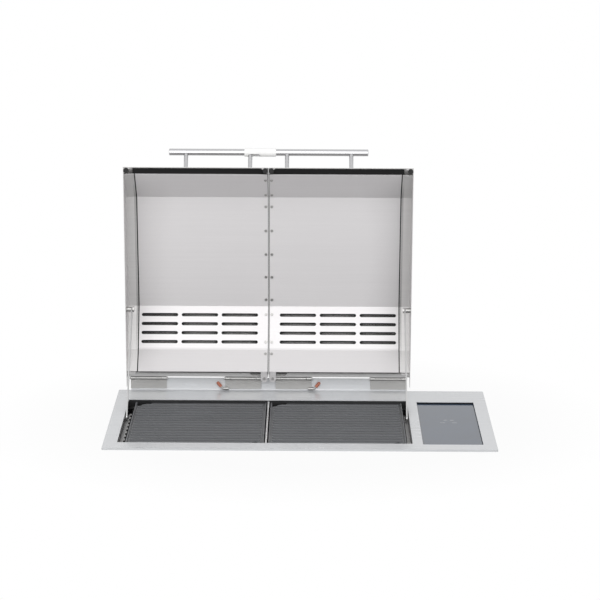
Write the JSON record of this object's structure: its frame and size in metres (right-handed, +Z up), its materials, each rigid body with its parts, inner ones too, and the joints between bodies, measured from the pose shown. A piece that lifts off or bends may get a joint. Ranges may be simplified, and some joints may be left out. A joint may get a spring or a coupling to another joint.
{
  "type": "built-in electric grill",
  "caption": "Drop-in electric grill with touch panel, ridged grates over heating elements, and hinged slotted lids with stays and handles that a sliding sleeve joins.",
  "frame": {"origin": "centre of the top plate's outline, on the underside of the counter gasket, which is the worktop surface", "axes": "+X to the cook's right along the deck, +Y to the back, +Z up"},
  "size_m": [0.87, 0.6306, 0.7194],
  "materials": {
    "deck_steel": "fine brushed",
    "tub_steel": "plain mill finish",
    "tub_enamel": "black enamel",
    "guide_steel": "satin",
    "stay_steel": "satin",
    "bright_steel": "polished",
    "grate_coating": "satin non-stick coating",
    "element_sheath": "dark oxidised",
    "ceramic": null,
    "tray_aluminium": "pressed foil",
    "panel_glass": "tinted opaque glass",
    "black_rubber": "matt",
    "grey_rubber": "matt",
    "circuit_board": "solder mask",
    "black_plastic": "moulded",
    "hinge_steel": "satin",
    "red_grip": "dipped grip",
    "seam_steel": "satin",
    "shell_steel": "brushed",
    "liner_steel": "bright satin",
    "handle_steel": "brushed tube",
    "sleeve_plastic": "pale gloss"
  },
  "bodies": {
    "base": {"deck_plate": "deck_steel", "counter_gasket": "black_rubber", "tub": "tub_enamel", "centre_divider": "bright_steel", "left_grate": "grate_coating", "right_grate": "grate_coating", "left_element": "element_sheath", "right_element": "element_sheath", "element_rests": "tub_steel", "element_bushings": "ceramic", "left_probe": "bright_steel", "right_probe": "bright_steel", "left_reflector": "tub_steel", "right_reflector": "tub_steel", "left_drip_tray": "tray_aluminium", "right_drip_tray": "tray_aluminium", "left_guide_rail": "guide_steel", "right_guide_rail": "guide_steel", "touch_glass": "panel_glass", "glass_seal": "black_rubber", "control_housing": "tub_steel", "control_board": "circuit_board", "power_board": "circuit_board", "terminal_block": "ceramic", "cable_gland": "black_plastic", "hold_down_brackets": "tub_steel", "hold_down_screws": "bright_steel", "left_base_leaves": "hinge_steel", "right_base_leaves": "hinge_steel", "left_hinge_pins": "hinge_steel", "right_hinge_pins": "hinge_steel"},
    "left_lid": {"left_lid_shell": "shell_steel", "left_lid_liner": "liner_steel", "left_seam_plate": "seam_steel", "left_front_seal": "black_rubber", "left_bumpers": "grey_rubber", "left_lid_screws": "hinge_steel", "left_handle_bar": "handle_steel", "left_handle_posts": "handle_steel", "left_lid_leaves": "hinge_steel", "left_stay_stud": "hinge_steel"},
    "left_stay_arm": {"left_stay": "stay_steel", "left_stay_roller": "black_plastic"},
    "left_pin": {"left_release_pin": "hinge_steel", "left_pin_grip": "red_grip"},
    "right_lid": {"right_lid_shell": "shell_steel", "right_lid_liner": "liner_steel", "right_seam_plate": "seam_steel", "right_front_seal": "black_rubber", "right_bumpers": "grey_rubber", "right_lid_screws": "hinge_steel", "right_handle_bar": "handle_steel", "right_handle_posts": "handle_steel", "right_lid_leaves": "hinge_steel", "right_stay_stud": "hinge_steel"},
    "right_stay_arm": {"right_stay": "stay_steel", "right_stay_roller": "black_plastic"},
    "right_pin": {"right_release_pin": "hinge_steel", "right_pin_grip": "red_grip"},
    "sleeve": {"coupling_sleeve": "sleeve_plastic"}
  },
  "joints": [
    {"name": "left_lid_hinge", "type": "hinge", "parent": "base", "child": "left_lid", "pos_m": [-0.2475, 0.2791, 0.0355], "axis": [1, 0, 0], "range_deg": [0, 82.5]},
    {"name": "right_lid_hinge", "type": "hinge", "parent": "base", "child": "right_lid", "pos_m": [0.0925, 0.2791, 0.0355], "axis": [1, 0, 0], "range_deg": [0, 82.5]},
    {"name": "left_stay_hinge", "type": "hinge", "parent": "left_lid", "child": "left_stay_arm", "pos_m": [-0.4005, 0.25081, 0.20828], "axis": [1, 0, 0], "range_deg": [-121, 0]},
    {"name": "right_stay_hinge", "type": "hinge", "parent": "right_lid", "child": "right_stay_arm", "pos_m": [0.2455, 0.25081, 0.20828], "axis": [1, 0, 0], "range_deg": [-121, 0]},
    {"name": "sleeve_slide", "type": "slide", "parent": "left_lid", "child": "sleeve", "axis": [-1, 0, 0], "range_m": [0, 0.0185]},
    {"name": "left_pin_pull", "type": "slide", "parent": "base", "child": "left_pin", "axis": [-1, 0, 0], "range_m": [0, 0.008]},
    {"name": "right_pin_pull", "type": "slide", "parent": "base", "child": "right_pin", "axis": [1, 0, 0], "range_m": [0, 0.008]}
  ],
  "couplings": [
    {"joint": "right_lid_hinge", "follows": "left_lid_hinge", "ratio": 1},
    {"joint": "left_stay_hinge", "follows": "left_lid_hinge", "ratio": -1.4661},
    {"joint": "right_stay_hinge", "follows": "left_lid_hinge", "ratio": -1.4661}
  ]
}
